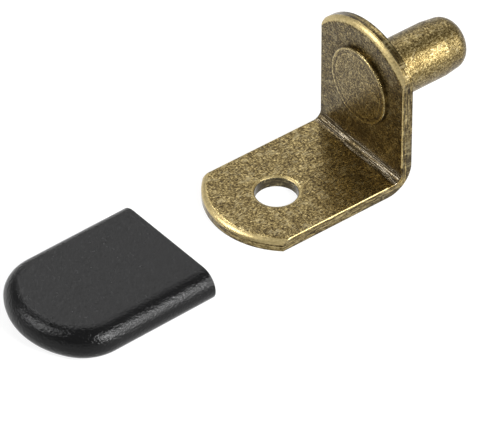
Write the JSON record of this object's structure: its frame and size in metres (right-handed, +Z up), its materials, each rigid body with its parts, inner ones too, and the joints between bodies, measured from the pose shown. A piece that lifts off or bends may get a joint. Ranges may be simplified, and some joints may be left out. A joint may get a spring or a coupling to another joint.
{
  "type": "shelf support pin",
  "caption": "Bent bracket with round ends, a riveted pin for a hole in a cabinet panel and a screw hole, with a hollow sleeve that pushes over the flange.",
  "frame": {"origin": "where the axis of the pin meets the back face of the upright", "axes": "+Y along the pin, into the cabinet's side panel; +Z up, out of the flange's upper face; the flange runs to -Y"},
  "size_m": [0.0129, 0.0462, 0.0139],
  "materials": {
    "antique_brass": "antique, mottled, half worn, satin",
    "black_rubber": "fine grained, satin"
  },
  "bodies": {
    "root": {"bracket": "antique_brass", "pin": "antique_brass", "sleeve": "black_rubber"}
  },
  "joints": []
}
